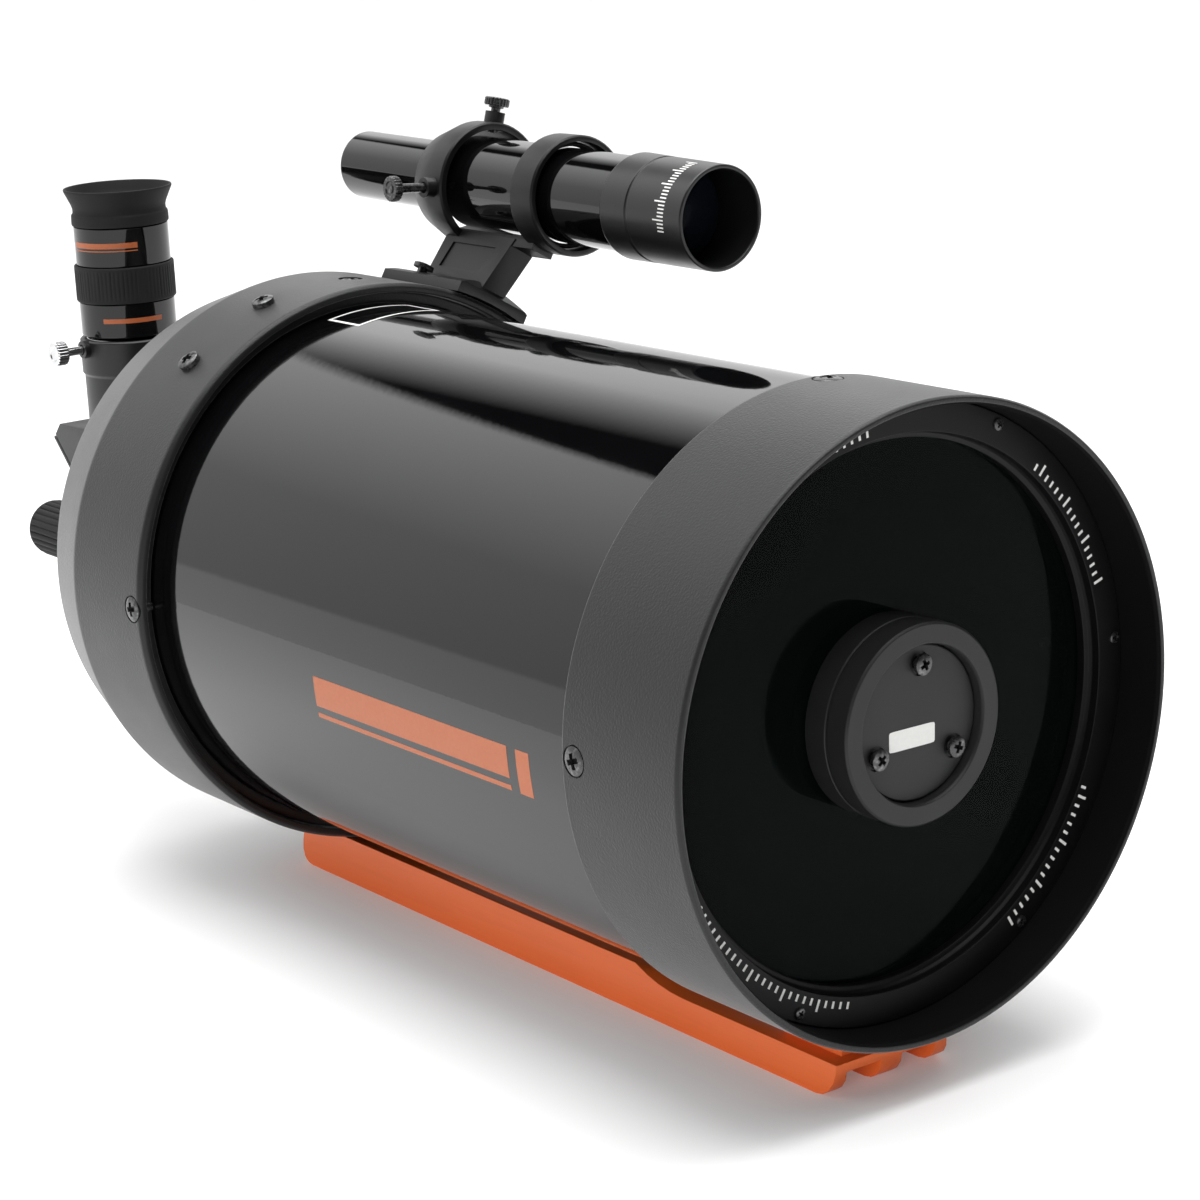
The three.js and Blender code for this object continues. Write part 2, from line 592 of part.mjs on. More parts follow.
// The finder itself, built about its own axis with heights counted from the O-ring.
function finder() {
  const group = new THREE.Group();
  group.position.set(finderAxis.x, finderPivot, finderAxis.z);
  group.rotation.x = degrees(finderTilt);
  const at = (y) => y - finderPivot;
  const turned = (name, profile, look) => {
    group.add(piece(name, revolve(profile.map(([r, y]) => [r, at(y)])), look));
  };
  turned('finder_tube', [[14.2, 190.6], [15.6, 190.6], [15.6, 293], [12.2, 303], [12.2, 308], [10.8, 308],
    [10.8, 302.4], [14.2, 292]], glossBlack);
  turned('finder_objective_cell', [[15.2, 163.6], [16.7, 163.6], [17.2, 203.5], [15.9, 203.5],
    [15.9, 190.3], [13.6, 190.3], [13.6, 187.6], [15.2, 187.6]], satinBlack);
  turned('finder_objective_lens', [[0, 179.6], [8, 180.4], [14.9, 182.4], [14.9, 186.4], [8, 187],
    [0, 187.3]], glass);
  turned('finder_eye_tube', [[8.6, 301.5], [10.5, 301.5], [10.5, 308.3], [11.9, 308.3], [11.9, 361.2],
    [11.1, 362], [8.2, 362], [8.2, 357.5], [8.6, 357.5]], glossBlack);
  turned('finder_eye_lens', [[0, 351.5], [8.3, 352.5], [8.3, 355.5], [0, 356.5]], glass);
  return group;
}

// ---- assembly ----
const telescope = new THREE.Group();
telescope.add(tubeAndCells());
telescope.add(correctorAndSecondary());
telescope.add(mirrorsAndFocuser());
telescope.add(visualBackGroup());
const swivel = new THREE.Group();
swivel.rotation.y = degrees(diagonalTurn);
swivel.add(starDiagonal(), eyepiece());
telescope.add(swivel);
telescope.add(dovetail());
telescope.add(finderMount());
telescope.add(finder());
telescope.position.set(0, -(barFront + barRear) / 2, -barBottom);

export default telescope;
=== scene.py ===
import json
import math

import bmesh
import bpy
import numpy as np
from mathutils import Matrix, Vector


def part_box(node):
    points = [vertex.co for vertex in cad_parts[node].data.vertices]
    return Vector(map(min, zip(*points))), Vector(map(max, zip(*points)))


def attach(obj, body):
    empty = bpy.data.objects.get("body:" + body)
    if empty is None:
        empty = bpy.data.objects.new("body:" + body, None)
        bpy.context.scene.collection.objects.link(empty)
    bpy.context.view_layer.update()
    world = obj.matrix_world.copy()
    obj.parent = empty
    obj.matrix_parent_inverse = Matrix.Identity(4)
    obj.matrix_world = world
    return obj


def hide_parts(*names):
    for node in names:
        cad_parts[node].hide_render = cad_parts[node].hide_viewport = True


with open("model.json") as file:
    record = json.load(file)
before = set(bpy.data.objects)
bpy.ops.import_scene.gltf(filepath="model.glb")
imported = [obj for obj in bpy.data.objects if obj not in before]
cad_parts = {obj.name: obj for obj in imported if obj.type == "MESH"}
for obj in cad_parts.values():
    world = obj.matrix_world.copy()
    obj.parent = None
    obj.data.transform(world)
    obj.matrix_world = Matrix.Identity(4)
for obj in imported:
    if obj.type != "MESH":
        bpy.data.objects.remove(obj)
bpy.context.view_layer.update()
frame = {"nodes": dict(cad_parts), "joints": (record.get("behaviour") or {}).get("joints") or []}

# ---------------------------------------------------------------------------------------------
# Main tube. Rolled aluminium, sprayed with black enamel and polished outside, flat black inside.
# It is the largest piece, and every turned piece of the optical train lies on its axis.
# ---------------------------------------------------------------------------------------------
MM = 0.001


class Axis:
    """A line that pieces are turned about. A point at angle a, radius r and height h is
    origin + h * along + r * (cos(a) * side + sin(a) * up), with r and h in millimetres."""

    def __init__(self, origin, along, side=(1, 0, 0)):
        self.origin = np.array(origin, float)
        self.along = np.array(Vector(along).normalized())
        across = np.array(side, float)
        across -= self.along * (across @ self.along)
        self.side = across / np.linalg.norm(across)
        self.up = np.cross(self.side, self.along)

    def at(self, angle, radius, height):
        ring = np.multiply.outer(np.cos(angle), self.side) + np.multiply.outer(np.sin(angle), self.up)
        along = np.multiply.outer(height, self.along)
        return self.origin + MM * (along + radius[..., None] * ring)


def eased(outline, radius, steps=4):
    """Each corner p of the outline becomes the curve (1-t)^2 a + 2t(1-t) p + t^2 b between a point a
    before it and a point b after it. A guard point outside each keeps the flats' shading flat."""
    p = np.array(outline, float)
    back = np.roll(p, 1, 0) - p
    ahead = np.roll(p, -1, 0) - p
    back_length = np.linalg.norm(back, axis=1, keepdims=True)
    ahead_length = np.linalg.norm(ahead, axis=1, keepdims=True)
    ease = np.where(p[:, :1] > 1e-6, radius, 0)
    to_a = back / back_length * np.minimum(ease, 0.3 * back_length)
    to_b = ahead / ahead_length * np.minimum(ease, 0.3 * ahead_length)
    t = np.linspace(0, 1, steps + 1)[None, :, None]
    curve = (1 - t) ** 2 * (p + to_a)[:, None] + 2 * t * (1 - t) * p[:, None] + t**2 * (p + to_b)[:, None]
    guard_before = (p + 1.5 * to_a)[:, None]
    guard_after = (p + 1.5 * to_b)[:, None]
    return np.concatenate([guard_before, curve, guard_after], axis=1).reshape(-1, 2)


def shell(points, wrap=True):
    """The skin over a grid of points, rows by columns. Columns close on themselves, rows too if wrap.
    Points that coincide become one vertex, so poles and seams close, and faces point outwards."""
    rows, columns = points.shape[:2]
    found, inverse = np.unique(np.round(points.reshape(-1, 3), 8), axis=0, return_inverse=True)
    index = inverse.reshape(rows, columns)
    if wrap:
        index = np.vstack([index, index[:1]])
    index = np.hstack([index, index[:, :1]])
    quads = np.stack([index[:-1, :-1], index[1:, :-1], index[1:, 1:], index[:-1, 1:]], -1).reshape(-1, 4)
    repeats = quads == np.roll(quads, -1, 1)
    folded = repeats.sum(1) == 1
    whole = quads[repeats.sum(1) == 0]
    triangles = quads[folded][~repeats[folded]].reshape(-1, 3)
    corners = np.vstack([whole[:, [0, 1, 2]], whole[:, [0, 2, 3]], triangles])
    a, b, c = (found[corners[:, i]] - found.mean(0) for i in range(3))
    if (a * np.cross(b, c)).sum() < 0:
        whole = whole[:, ::-1]
        triangles = triangles[:, ::-1]
    return found, whole, triangles


def solid(name, *shells, smooth=35):
    """One object from one or more shells, shaded smooth where faces meet at less than an angle."""
    vertices = []
    faces = []
    count = 0
    for points, quads, triangles in shells:
        vertices.append(points)
        faces += (quads + count).tolist() + (triangles + count).tolist()
        count += len(points)
    mesh = bpy.data.meshes.new(name)
    mesh.from_pydata(np.vstack(vertices), [], faces)
    mesh.shade_smooth()
    mesh.set_sharp_from_angle(angle=math.radians(smooth))
    piece = bpy.data.objects.new(name, mesh)
    bpy.context.scene.collection.objects.link(piece)
    return piece


def turned_shell(axis, outline, ease=0.3, count=128, relief=None, span=None):
    """An outline of (radius, height) turned about an axis. relief(angle, radius, height) is added to
    the radius. A span of two angles in degrees turns it part of the way and closes both ends."""
    profile = eased(outline, ease)
    if span is None:
        angles = np.arange(count) * 2 * math.pi / count
    else:
        angles = np.radians(np.linspace(*span, count))
    angle, radius = np.meshgrid(angles, profile[:, 0], indexing="ij")
    height = np.broadcast_to(profile[:, 1], radius.shape)
    if relief:
        radius = radius + relief(angle, radius, height)
    points = axis.at(angle, radius, height)
    if span is None:
        return shell(points)
    middles = [np.broadcast_to(row.mean(0), row.shape)[None] for row in (points[0], points[-1])]
    return shell(np.concatenate([middles[0], points, middles[1]]), wrap=False)


def turned(name, axis, outline, **how):
    return solid(name, turned_shell(axis, outline, **how))


class Wire:
    """A shader value that plain arithmetic works on: each operator adds its Math node."""

    def __init__(self, finish, socket):
        self.finish = finish
        self.socket = socket

    def _math(self, operation, *values):
        return self.finish.node("ShaderNodeMath", {"operation": operation}, *values)

    def __add__(self, other):
        return self._math("ADD", self, other)

    def __sub__(self, other):
        return self._math("SUBTRACT", self, other)

    def __rsub__(self, other):
        return self._math("SUBTRACT", other, self)

    def __mul__(self, other):
        return self._math("MULTIPLY", self, other)

    def __gt__(self, other):
        return self._math("GREATER_THAN", self, other)

    __radd__ = __add__
    __rmul__ = __mul__


class Finish:
    """A material or world being made. node() adds a node from its type, its settings, which are set
    first, and the values or links of its sockets: in order, at numbered places, or by name."""

    def __init__(self, name, owner=None):
        self.owner = owner or bpy.data.materials.new(name)
        self.owner.use_nodes = True
        self.tree = self.owner.node_tree
        self.tree.nodes.clear()

    def node(self, kind, settings=None, *values, out=0, at=None, **named):
        node = self.tree.nodes.new(kind)
        for key, value in (settings or {}).items():
            setattr(node, key, value)
        sockets = dict(enumerate(values)) | (at or {})
        sockets |= {key.replace("_", " "): value for key, value in named.items()}
        for key, value in sockets.items():
            if isinstance(value, Wire):
                self.tree.links.new(value.socket, node.inputs[key])
            else:
                node.inputs[key].default_value = value
        return Wire(self, node.outputs[out] if node.outputs else None)

    def place(self):
        return self.node("ShaderNodeTexCoord", None, out=3)

    def noise(self, scale, detail=3.0, stretch=(1, 1, 1)):
        where = self.node("ShaderNodeMapping", None, self.place(), Scale=stretch)
        return self.node("ShaderNodeTexNoise", None, Vector=where, Scale=scale, Detail=detail)

    def parts(self, vector):
        """The x, y and z of a vector, each as a value of its own."""
        split = self.node("ShaderNodeSeparateXYZ", None, vector)
        return [Wire(self, socket) for socket in split.socket.node.outputs]

    def blend(self, share, low, high):
        """Two colours mixed by a share from 0 to 1."""
        low, high = (end if isinstance(end, Wire) else (*end, 1) for end in (low, high))
        return self.node("ShaderNodeMix", {"data_type": "RGBA"}, share, out=2, at={6: low, 7: high})

    def ramp(self, value, low, high):
        """0 below low, 1 above high, and an even slope between."""
        return self.node("ShaderNodeMapRange", None, value, low, high, 0.0, 1.0)

    def greater(self, one, other):
        return self.node("ShaderNodeMath", {"operation": "MAXIMUM"}, one, other)

    def bump(self, height, strength, depth):
        return self.node("ShaderNodeBump", None, Strength=strength, Distance=depth, Height=height)

    def surface(self, **sockets):
        shader = self.node("ShaderNodeBsdfPrincipled", None, **sockets)
        self.node("ShaderNodeOutputMaterial", None, Surface=shader)
        return self.owner


def fit(piece, finish, body, slot, *nodes):
    """Gives a piece its finish and its body, and hides the CAD nodes that it stands for."""
    piece.data.materials.clear()
    piece.data.materials.append(finish)
    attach(piece, body)
    if nodes:
        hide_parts(*nodes)
    return piece


def centre(node):
    low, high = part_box(node)
    return (low + high) / 2


tube_middle = centre("main_tube")
front_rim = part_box("front_cell")[0].y
optical = Axis((tube_middle.x, front_rim, tube_middle.z), (0, 1, 0))
TUBE_RADIUS = 86
TUBE_BORE = 84.4
TUBE_FRONT = 30.8
TUBE_BACK = 287.7
FLAT_BLACK = (0.006, 0.006, 0.006)


def enamel(name, bore=0.0):
    """Polished enamel with a faint orange peel. Nearer the optical axis than bore it is flat black."""
    finish = Finish(name)
    peel = finish.noise(420, 2.0)
    haze = finish.noise(26, 3.0)
    colour = finish.blend(haze, (0.0012, 0.0012, 0.0014), (0.003, 0.003, 0.0034))
    rough = 0.03 + 0.03 * haze
    if bore:
        x, y, z = finish.parts(finish.place())
        across = x - tube_middle.x
        upwards = z - tube_middle.z
        outside = (across * across + upwards * upwards) > (bore * MM) ** 2
        colour = finish.blend(outside, FLAT_BLACK, colour)
        rough = 0.8 - outside * (0.8 - rough)
    return finish.surface(Base_Color=colour, Roughness=rough, Normal=finish.bump(peel, 0.06, 0.0001))


tube = turned("tube_shell", optical, [(TUBE_BORE, TUBE_FRONT), (TUBE_RADIUS, TUBE_FRONT),
    (TUBE_RADIUS, TUBE_BACK), (TUBE_BORE, TUBE_BACK)], count=320, ease=0.2)
tube_enamel = enamel("tube enamel", (TUBE_BORE + TUBE_RADIUS) / 2)
fit(tube, tube_enamel, "tube_assembly", "gloss_black_paint", "main_tube")

# ---------------------------------------------------------------------------------------------
# Marks printed on the tube: plain orange stripes along one side and a plain white frame on top.
# Each is a film of ink that follows the curve of the enamel.
# ---------------------------------------------------------------------------------------------
INK = 0.05


def print_finish(name, low, high, rough=0.4):
    finish = Finish(name)
    colour = finish.blend(finish.noise(900), low, high)
    return finish.surface(Base_Color=colour, Roughness=rough + 0.1 * finish.noise(300))


def film(axis, radius, heights, angles, count=12):
    """A film of ink on a turned surface: a thin rectangle carried round through part of a turn."""
    low, high = heights
    ring = [(radius, low), (radius + INK, low), (radius + INK, high), (radius, high)]
    return turned_shell(axis, ring, ease=0.01, count=count, span=angles)


orange_ink = print_finish("orange ink", (0.32, 0.082, 0.026), (0.39, 0.105, 0.034))
white_ink = print_finish("white ink", (0.70, 0.70, 0.68), (0.82, 0.82, 0.80))
STRIPES = [((76, 172), (182.6, 188.8)), ((76, 172), (190.2, 191.2)), ((66, 72), (182.6, 191.2))]
stripes = solid("side_stripes", *[film(optical, TUBE_RADIUS, *place) for place in STRIPES])
fit(stripes, orange_ink, "tube_assembly", "orange_anodised")

FRAME_FRONT = 242
FRAME_BACK = 260
FRAME_RIGHT = 82
FRAME_LEFT = 103
LINE = 1.1
LINE_ANGLE = math.degrees(LINE / TUBE_RADIUS)
between = FRAME_FRONT + LINE, FRAME_BACK - LINE
frame_lines = [
    film(optical, TUBE_RADIUS, (FRAME_FRONT, FRAME_FRONT + LINE), (FRAME_RIGHT, FRAME_LEFT)),
    film(optical, TUBE_RADIUS, (FRAME_BACK - LINE, FRAME_BACK), (FRAME_RIGHT, FRAME_LEFT)),
    film(optical, TUBE_RADIUS, between, (FRAME_RIGHT, FRAME_RIGHT + LINE_ANGLE)),
    film(optical, TUBE_RADIUS, between, (FRAME_LEFT - LINE_ANGLE, FRAME_LEFT)),
]
fit(solid("top_label_frame", *frame_lines), white_ink, "tube_assembly", "gloss_black_paint")

# ---------------------------------------------------------------------------------------------
# Front and rear cells. Aluminium castings, turned and sprayed with fine textured dark grey paint.
# Screws hold them to the tube, and their heads sit in shallow counterbores.
# ---------------------------------------------------------------------------------------------
SCREW_SINK = 2.1
SCREW_HOLE_RADIUS = 4.5
SPARE_SINK = 2.3
SPARE_HOLE_RADIUS = 4.1
LINING_RADIUS = 86.9


def cell_paint():
    finish = Finish("cell paint")
    grain = finish.noise(1500, 2.0)
    clouds = finish.noise(60, 4.0)
    share = 0.6 * grain + 0.4 * clouds
    colour = finish.blend(share, (0.007, 0.0071, 0.0073), (0.014, 0.0142, 0.0145))
    return finish.surface(Base_Color=colour, Sheen_Weight=0.3, Sheen_Roughness=0.35,
        Specular_IOR_Level=0.32, Roughness=0.38 + 0.12 * clouds, Normal=finish.bump(grain, 0.55, 0.00022))


def satin_black(name="satin black", low=(0.004, 0.004, 0.0042), high=(0.009, 0.009, 0.0095),
        rough=0.36, shine=0.5):
    """A dark satin surface with a fine grain and faint smudges, between two colours."""
    finish = Finish(name)
    grain = finish.noise(3200, 2.0)
    smudge = finish.noise(90, 4.0)
    return finish.surface(Base_Color=finish.blend(0.5 * grain + 0.5 * smudge, low, high),
        Roughness=rough + 0.12 * smudge, Normal=finish.bump(grain, 0.12, 0.00006), Specular_IOR_Level=shine)


def line_inside(piece, radius, finish):
    """A second finish for the faces that lie nearer the optical axis than a radius."""
    mesh = piece.data
    middles = np.zeros(len(mesh.polygons) * 3)
    mesh.polygons.foreach_get("center", middles)
    middles = middles.reshape(-1, 3) - optical.origin
    inside = np.hypot(middles[:, 0], middles[:, 2]) < radius * MM
    mesh.materials.append(finish)
    mesh.polygons.foreach_set("material_index", inside.astype(np.int32))


def shaped(piece, operation, *tools):
    """Cuts a piece with other closed pieces, or joins them to it, and uses the tools up."""
    for tool in tools:
        step = piece.modifiers.new("cut", "BOOLEAN")
        step.operation = operation
        step.solver = "EXACT"
        step.object = tool
    graph = bpy.context.evaluated_depsgraph_get()
    finished = bpy.data.meshes.new_from_object(piece.evaluated_get(graph))
    piece.modifiers.clear()
    piece.data = finished
    for tool in tools:
        bpy.data.objects.remove(tool)
    finished.set_sharp_from_angle(angle=math.radians(35))
    return piece


def vertices_of(node):
    mesh = frame["nodes"][node].data
    points = np.zeros(len(mesh.vertices) * 3)
    mesh.vertices.foreach_get("co", points)
    return np.unique(np.round(points.reshape(-1, 3), 6), axis=0)


def end_of(node, along, side=(0, 1, 0)):
    """The axis of a screw, with its origin at the outer end and heights that grow outwards."""
    points = vertices_of(node)
    middle = points.mean(0)
    along = np.array(Vector(along).normalized())
    return Axis(middle + along * ((points - middle) @ along).max(), along, side)


def outwards(node):
    """The direction from the optical axis to a screw in a cell's wall."""
    middle = centre(node)
    return Vector((middle.x - tube_middle.x, 0, middle.z - tube_middle.z))


def counterbore(axis, radius, depth):
    ring = [(0, -depth), (radius, -depth), (radius, 6), (0, 6)]
    return turned("counterbore", axis, ring, count=48, ease=0.05)


front_cell = turned("front_cell_shell", optical, [(87, 0), (88.2, 0), (88.8, 0.8), (88.8, 47.0),
    (88.1, 47.8), (86.3, 47.8), (86.3, 30.5), (76.5, 30.5), (76.5, 27.3), (80.6, 27.3), (80.6, 21.5),
    (86.3, 21.5), (86.3, 1.2)], count=320, ease=0.35)
rear_cell = turned("rear_cell_shell", optical, [(90, 261.4), (91.9, 261.4), (93, 262.6), (93, 304),
    (85.5, 330), (72, 345), (27, 345), (27, 349), (25.4, 349), (25.4, 358), (20.4, 358), (20.4, 341),
    (69.5, 341), (81.5, 327), (83.5, 305), (83.5, 288), (86.3, 288), (86.3, 265.4), (90, 265.4)],
    count=320, ease=0.9)

front_screws = [f"front_cell_screw_{i}" for i in (1, 2, 3)]
rear_screws = [f"rear_cell_screw_{i}" for i in (1, 2)]
spare_screws = [f"accessory_screw_{i}" for i in (1, 2, 3)]
front_holes = [counterbore(end_of(n, outwards(n)), SCREW_HOLE_RADIUS, SCREW_SINK) for n in front_screws]
rear_holes = [counterbore(end_of(n, outwards(n)), SCREW_HOLE_RADIUS, SCREW_SINK) for n in rear_screws]
last_spare = end_of(spare_screws[2], outwards(spare_screws[2]))
rear_holes.append(counterbore(last_spare, SPARE_HOLE_RADIUS, SPARE_SINK))
knob_line = Axis(centre("focus_knob"), (0, 1, 0))
bearing_hole = turned("bearing hole", knob_line, [(0, -60), (6.3, -60), (6.3, -10), (0, -10)], count=48)
shaped(front_cell, "DIFFERENCE", *front_holes)
shaped(rear_cell, "DIFFERENCE", *rear_holes, bearing_hole)
paint = cell_paint()
flat_black = satin_black("flat black", (0.0015, 0.0015, 0.0015), (0.004, 0.004, 0.004), 0.7, 0.1)
fit(front_cell, paint, "tube_assembly", "cell_paint", "front_cell")
fit(rear_cell, paint, "tube_assembly", "cell_paint", "rear_cell")
line_inside(front_cell, LINING_RADIUS, flat_black)

# ---------------------------------------------------------------------------------------------
# Pan head screws with a cross recess: blackened steel. Three hold the front cell, two show on the
# rear cell, and three more fill its spare tapped holes.
# ---------------------------------------------------------------------------------------------


def black_steel():
    finish = Finish("black steel")
    wear = finish.noise(700, 4.0)
    worn = finish.ramp(wear, 0.52, 0.75)
    return finish.surface(Base_Color=finish.blend(worn, (0.07, 0.07, 0.072), (0.20, 0.20, 0.20)),
        Roughness=0.20 + 0.16 * wear, Metallic=0.85, Normal=finish.bump(wear, 0.08, 0.00005))


def cross_head(axis, radius, rise, stem, turn=0.0, shaft=1.7):
    """A domed head whose top is rise * sqrt(1 - 0.8 (r/radius)^2), less a cross recess whose arms are
    0.34 of the radius wide and reach 0.56 of it. The axis starts at the top of the dome."""
    edge = np.concatenate([np.linspace(0, 0.96, 25), [0.985, 1.0]]) * radius
    angles = np.arange(96) * 2 * math.pi / 96
    angle, reach = np.meshgrid(angles, edge, indexing="ij")
    x = np.abs(reach * np.cos(angle + turn))
    y = np.abs(reach * np.sin(angle + turn))
    arm = np.minimum(x, y) < 0.17 * radius
    inside = np.clip((0.56 * radius - np.maximum(x, y)) / (0.12 * radius), 0, 1)
    dome = rise * (np.sqrt(1 - 0.8 * (reach / radius) ** 2) - 1)
    top = dome - arm * inside * 0.62 * radius
    rim = -rise - 0.25 * radius
    under = np.array([(radius, rim), (shaft, rim), (shaft, -stem), (0, -stem)])
    reach = np.hstack([reach, np.broadcast_to(under[:, 0], (96, 4))])
    height = np.hstack([top, np.broadcast_to(under[:, 1], (96, 4))])
    angle = np.broadcast_to(angles[:, None], reach.shape)
    return shell(axis.at(angle, reach, height))


steel = black_steel()
for i, node in enumerate(front_screws + rear_screws):
    head = cross_head(end_of(node, outwards(node)), 4.0, 1.3, 7.2, turn=0.5 + 0.7 * i)
    fit(solid(node + "_head", head, smooth=40), steel, "tube_assembly", "black_steel", node)
for i, node in enumerate(spare_screws):
    head = cross_head(end_of(node, outwards(node)), 3.7, 1.5, 6.9, turn=0.3 + 0.6 * i)
    fit(solid(node + "_head", head, smooth=40), steel, "tube_assembly", "black_steel", node)

# ---------------------------------------------------------------------------------------------
# Corrector plate, with its retaining ring in front of it and a seal behind it. The ring is anodised
# satin black, is held by six small screws, and carries plain white graduation ticks.
# ---------------------------------------------------------------------------------------------
RING_FACE = 14.7
RING_SCREW_RADIUS = 83.4
RING_SCREW_ANGLES = [5, 64, 124, 184, 244, 304]
TICK_RADIUS = 78.6
TICK_LENGTHS = 3.4, 2.0
TICK_ARCS = [(98, 122), (18, 50), (-58, -26), (208, 256)]
TICK_STEP = 2.0
TICK_HALF_ANGLE = 0.28


def glass_with_painted_dark(name, alpha, painted_dark_tint):
    """Glass with a faint coated reflection, made partly opaque in a dark green tint: the tint is painted
    shade, standing for the dark inside seen through the glass. Dust makes it slightly uneven.
    """
    finish = Finish(name)
    dust = finish.noise(12, 2.0)
    darker = [part * 0.7 for part in painted_dark_tint]
    return finish.surface(Base_Color=finish.blend(dust, darker, painted_dark_tint), Roughness=0.015 + 0.03 * dust,
        Alpha=alpha, Specular_IOR_Level=0.03)


anodised = satin_black()
ring = turned("retaining_ring", optical, [(77.2, RING_FACE), (86, RING_FACE), (86, 21.2), (75.3, 21.2),
    (75.3, 18.6), (76.6, 18.2), (77.2, 17.2)], count=320, ease=0.25)
ring_black = satin_black("ring black", (0.002, 0.002, 0.002), (0.005, 0.005, 0.005), 0.4, 0.16)
fit(ring, ring_black, "tube_assembly", "satin_black_anodised", "corrector_retaining_ring")

ring_heads = []
for i, degrees in enumerate(RING_SCREW_ANGLES):
    angle = np.radians(degrees)
    spot = optical.at(angle, np.array(RING_SCREW_RADIUS), RING_FACE - 0.75)
    ring_heads.append(cross_head(Axis(spot, (0, -1, 0)), 1.7, 0.55, 3.0, turn=i, shaft=0.9))
fit(solid("retaining_ring_screws", *ring_heads, smooth=40), steel, "tube_assembly", "black_steel")

ticks = []
for start, stop in TICK_ARCS:
    for n, angle in enumerate(np.arange(start, stop + 0.01, TICK_STEP)):
        outer = TICK_RADIUS + (TICK_LENGTHS[0] if n % 5 == 0 else TICK_LENGTHS[1])
        section = [(TICK_RADIUS, RING_FACE - INK), (outer, RING_FACE - INK), (outer, RING_FACE),
            (TICK_RADIUS, RING_FACE)]
        width = angle - TICK_HALF_ANGLE, angle + TICK_HALF_ANGLE
        ticks.append(turned_shell(optical, section, ease=0.01, count=3, span=width))
fit(solid("ring_ticks", *ticks), white_ink, "tube_assembly", "satin_black_anodised")

# Painted shade: the corrector's near-black, partly opaque tint stands for the dark inside of the tube seen
# through it.
corrector_glass_painted_dark = glass_with_painted_dark("corrector glass painted dark", 0.72, (0.003, 0.0045, 0.004))
plate = turned("corrector_glass", optical, [(20.8, 21.5), (80, 21.5), (80, 26), (20.8, 26)], count=256,
    ease=0.15)
fit(plate, corrector_glass_painted_dark, "tube_assembly", "optical_glass", "corrector_plate")

# ---------------------------------------------------------------------------------------------
# Secondary mirror's housing: turned aluminium with a recessed front, a plate in the recess, and the
# three screws that tilt the mirror behind it. A blank white label is stuck on the plate.
# ---------------------------------------------------------------------------------------------
grey_paint = satin_black("grey satin paint", (0.010, 0.010, 0.0103), (0.018, 0.018, 0.0185), 0.42, 0.3)
PLATE_FACE = 8.0
LABEL = (-10, -6.6), (6.6, -0.9)

housing = turned("secondary_housing_shell", optical, [(21.9, 5.8), (22.3, 5), (27.4, 5), (28, 5.6),
    (28, 12.5), (27.7, 12.8), (27.7, 13.4), (28, 13.7), (28, 21.2), (20.5, 21.2), (20.5, 28.2), (18.4, 28.2),
    (18.4, 9.9), (21.9, 9.9)], count=192, ease=0.2)
fit(housing, grey_paint, "tube_assembly", "dark_grey_paint", "secondary_housing")
plate_disc = turned("collimation_disc", optical, [(0, PLATE_FACE), (21.2, PLATE_FACE), (21.6, 8.4),
    (21.6, 9.6), (0, 9.6)], count=128, ease=0.2)
for i in (1, 2, 3):
    node = f"collimation_screw_{i}"
    screw_top = end_of(node, (0, -1, 0), side=(1, 0, 0))
    dish = turned("dish", Axis(screw_top.origin, (0, 1, 0)), [(0, 2.0), (3.3, 2.0), (3.6, 3.2), (1.9, 3.2),
        (1.9, 4.6), (0, 4.6)], count=64, ease=0.1)
    shaped(plate_disc, "DIFFERENCE", dish)
    head = cross_head(screw_top, 2.9, 0.9, 25.8, turn=0.4 * i, shaft=1.5)
    fit(solid(node + "_head", head, smooth=40), steel, f"collimator_{i}", "black_steel", node)
fit(plate_disc, grey_paint, "tube_assembly", "dark_grey_paint", "collimation_plate")


def label_shell(low, high, power, face, thickness):
    """A flat label with round corners: the loop |x|^power + |z|^power = 1, stretched to reach its sides,
    for each of two faces. Each face closes at its middle."""
    t = np.arange(64) * 2 * math.pi / 64
    reach = (np.abs(np.cos(t)) ** power + np.abs(np.sin(t)) ** power) ** (-1 / power)
    layers = []
    for depth, size in ((face, 0), (face, 1), (face - thickness, 1), (face - thickness, 0)):
        x = (low[0] + high[0]) / 2 + size * (high[0] - low[0]) / 2 * np.cos(t) * reach
        z = (low[1] + high[1]) / 2 + size * (high[1] - low[1]) / 2 * np.sin(t) * reach
        layers.append(optical.origin + MM * np.stack([x, np.full(64, depth), z], -1))
    return shell(np.stack(layers), wrap=False)


label = solid("blank_label", label_shell(*LABEL, 16, PLATE_FACE, 0.1))
label_paper = print_finish("label paper", (0.66, 0.66, 0.64), (0.74, 0.74, 0.72), 0.55)
fit(label, label_paper, "tube_assembly", "dark_grey_paint")
baffle = turned("secondary_baffle_ring", optical, [(20.8, 26.3), (28, 26.3), (28, 39.6), (26.6, 39.6),
    (26.6, 29.2), (20.8, 29.2)], count=128)
fit(baffle, flat_black, "tube_assembly", "matt_black", "secondary_baffle")

# ---------------------------------------------------------------------------------------------
# Primary mirror, the baffle tube that it slides on, and the small pieces inside the tube.
# The mirror's face is aluminised glass, and all that is round it is flat black.
# ---------------------------------------------------------------------------------------------
MIRROR_SPHERE = 600
MIRROR_RADIUS = 76
MIRROR_BORE = 25.6
MIRROR_EDGE = 262
MIRROR_BACK = 286


def mirror_finish():
    finish = Finish("mirror coating")
    haze = finish.noise(40, 4.0)
    return finish.surface(Base_Color=finish.blend(haze, (0.86, 0.87, 0.88), (0.91, 0.92, 0.93)),
        Metallic=1.0, Roughness=0.01 + 0.02 * haze)


